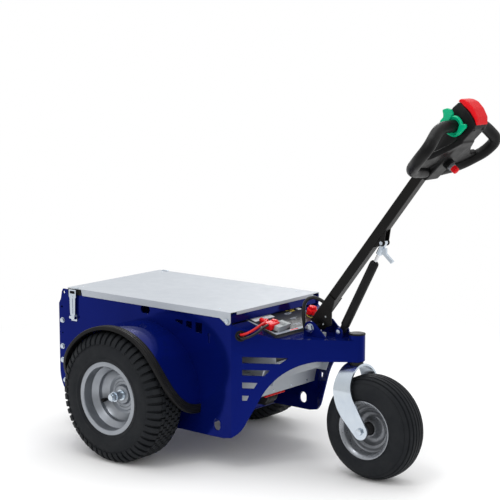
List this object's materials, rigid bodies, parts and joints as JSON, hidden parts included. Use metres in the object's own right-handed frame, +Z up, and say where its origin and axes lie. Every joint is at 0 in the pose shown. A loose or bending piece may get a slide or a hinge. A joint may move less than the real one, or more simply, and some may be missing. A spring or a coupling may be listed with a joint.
{
  "type": "electric tow tug",
  "caption": "Walk-behind electric tow tug with driven rear wheels under fenders, a swivelling front wheel, a hinged lid, a gas-sprung tiller with loop grips and a rear hitch.",
  "frame": {"origin": "on the floor below the middle of the machine's length and width", "axes": "+X towards the tiller and the front wheel, +Y to the left, +Z up"},
  "size_m": [1.5302, 0.79, 1.133],
  "materials": {
    "battery_case": "matte",
    "black_paint": "satin",
    "black_plastic": "fine grain",
    "black_rubber": "matte",
    "blue_paint": "gloss",
    "dark_steel": "satin",
    "green_plastic": "gloss",
    "grey_plastic": "matte",
    "grey_sheet": "satin",
    "polished_steel": "polished",
    "red_plastic": "gloss",
    "rim_grey": "satin",
    "rim_silver": "silver satin",
    "tyre": "matte",
    "zinc": "bright zinc plate"
  },
  "bodies": {
    "chassis": {"side_plate_right": "blue_paint", "side_plate_left": "blue_paint", "nose_deck": "blue_paint", "front_rail": "blue_paint", "rear_plate": "blue_paint", "floor_plate": "blue_paint", "cover_plate": "grey_sheet", "head_tube": "blue_paint", "head_cap": "black_plastic", "fender_right": "blue_paint", "fender_left": "blue_paint", "fender_trim_right": "black_rubber", "fender_trim_left": "black_rubber", "drive_unit": "dark_steel", "hitch": "dark_steel", "battery": "battery_case", "battery_tray": "blue_paint", "connector": "grey_plastic", "terminal_boot": "red_plastic", "cable_grommet": "black_rubber", "red_cable": "red_plastic", "black_cable": "black_rubber", "tiller_cable": "black_rubber", "tiller_ear_right": "blue_paint", "tiller_ear_left": "blue_paint", "tiller_bolt": "zinc", "spring_lugs": "blue_paint", "lid_bolt_right": "zinc", "lid_bolt_left": "zinc", "latch_base_right": "zinc", "latch_base_left": "zinc"},
    "rear_wheel_right": {"rear_tyre_right": "tyre", "rear_rim_right": "rim_silver", "rear_axle_right": "zinc"},
    "rear_wheel_left": {"rear_tyre_left": "tyre", "rear_rim_left": "rim_silver", "rear_axle_left": "zinc"},
    "caster": {"fork": "zinc", "swivel_stem": "zinc", "front_axle": "zinc"},
    "front_wheel": {"front_tyre": "tyre", "front_rim": "rim_grey"},
    "lid": {"lid": "grey_sheet"},
    "latch_right": {"latch_right": "zinc"},
    "latch_left": {"latch_left": "zinc"},
    "tiller": {"tiller_tube": "black_paint", "tiller_foot": "black_paint", "spring_ear_right": "black_paint", "spring_ear_left": "black_paint", "head_body": "black_plastic", "grip_right": "black_plastic", "grip_left": "black_plastic", "stop_cap": "red_plastic", "horn_button": "red_plastic", "throttle_right": "green_plastic", "throttle_left": "green_plastic"},
    "gas_cylinder": {"gas_cylinder": "black_paint"},
    "gas_rod": {"gas_rod": "polished_steel", "rod_end": "zinc", "release_lever": "zinc"}
  },
  "joints": [
    {"name": "rear_wheel_right_spin", "type": "hinge", "parent": "chassis", "child": "rear_wheel_right", "pos_m": [-0.302, 0, 0.203], "axis": [0, 1, 0], "continuous": true},
    {"name": "rear_wheel_left_spin", "type": "hinge", "parent": "chassis", "child": "rear_wheel_left", "pos_m": [-0.302, 0, 0.203], "axis": [0, 1, 0], "continuous": true},
    {"name": "caster_swivel", "type": "hinge", "parent": "chassis", "child": "caster", "pos_m": [0.35065, 0, 0.345], "axis": [0, 0, 1], "continuous": true},
    {"name": "front_wheel_spin", "type": "hinge", "parent": "caster", "child": "front_wheel", "pos_m": [0.41665, 0, 0.157], "axis": [0, 1, 0], "continuous": true},
    {"name": "lid_hinge", "type": "hinge", "parent": "chassis", "child": "lid", "pos_m": [0.035, 0, 0.46], "axis": [0, 1, 0], "range_deg": [0, 62]},
    {"name": "latch_right_swing", "type": "hinge", "parent": "chassis", "child": "latch_right", "pos_m": [-0.612, -0.2258, 0.391], "axis": [1, 0, 0], "range_deg": [0, 150]},
    {"name": "latch_left_swing", "type": "hinge", "parent": "chassis", "child": "latch_left", "pos_m": [-0.612, 0.2258, 0.391], "axis": [-1, 0, 0], "range_deg": [0, 150]},
    {"name": "tiller_tilt", "type": "hinge", "parent": "chassis", "child": "tiller", "pos_m": [0.213, 0, 0.435], "axis": [0, 1, 0], "range_deg": [-20, 16], "deforming": ["tiller_cable"]},
    {"name": "gas_cylinder_swing", "type": "hinge", "parent": "chassis", "child": "gas_cylinder", "pos_m": [0.298, 0, 0.43], "axis": [0, 1, 0], "range_deg": [-22.5, 18]},
    {"name": "gas_rod_slide", "type": "slide", "parent": "gas_cylinder", "child": "gas_rod", "axis": [0.4612, 0, 0.8873], "range_m": [-0.0222, 0.0275]}
  ],
  "couplings": [
    {"joint": "gas_cylinder_swing", "follows": "tiller_tilt", "ratio": 1.1},
    {"joint": "gas_rod_slide", "follows": "tiller_tilt", "m_per_rad": -0.07735}
  ]
}
